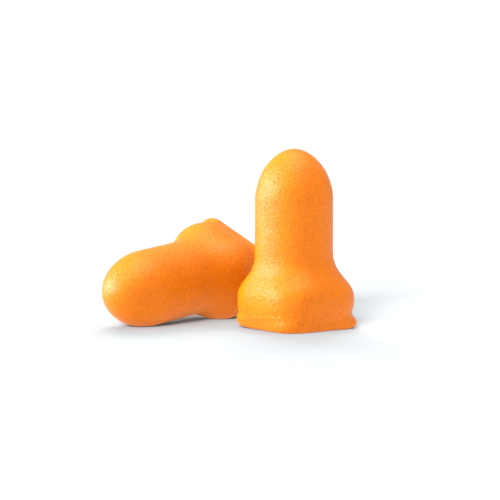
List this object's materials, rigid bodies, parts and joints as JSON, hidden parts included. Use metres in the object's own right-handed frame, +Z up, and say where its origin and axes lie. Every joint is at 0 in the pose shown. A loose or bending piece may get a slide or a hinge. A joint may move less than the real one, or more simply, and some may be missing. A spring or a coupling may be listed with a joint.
{
  "type": "foam ear plugs",
  "caption": "Bell-shaped moulded foam ear plugs, one standing on its flared base and one lying beside it.",
  "frame": {"origin": "centre of the standing plug's flat base", "axes": "+Z up along the standing plug's axis, +X to the right, away from the lying plug's nose, +Y to the back"},
  "size_m": [0.0381, 0.0309, 0.0268],
  "materials": {
    "foam": "matte"
  },
  "bodies": {
    "upright_plug": {"upright_plug": "foam"},
    "lying_plug": {"lying_plug": "foam"}
  },
  "joints": [
    {"name": "lying_plug_lift", "type": "slide", "parent": "upright_plug", "child": "lying_plug", "axis": [0, 0, 1], "range_m": [0, 0.032]}
  ]
}
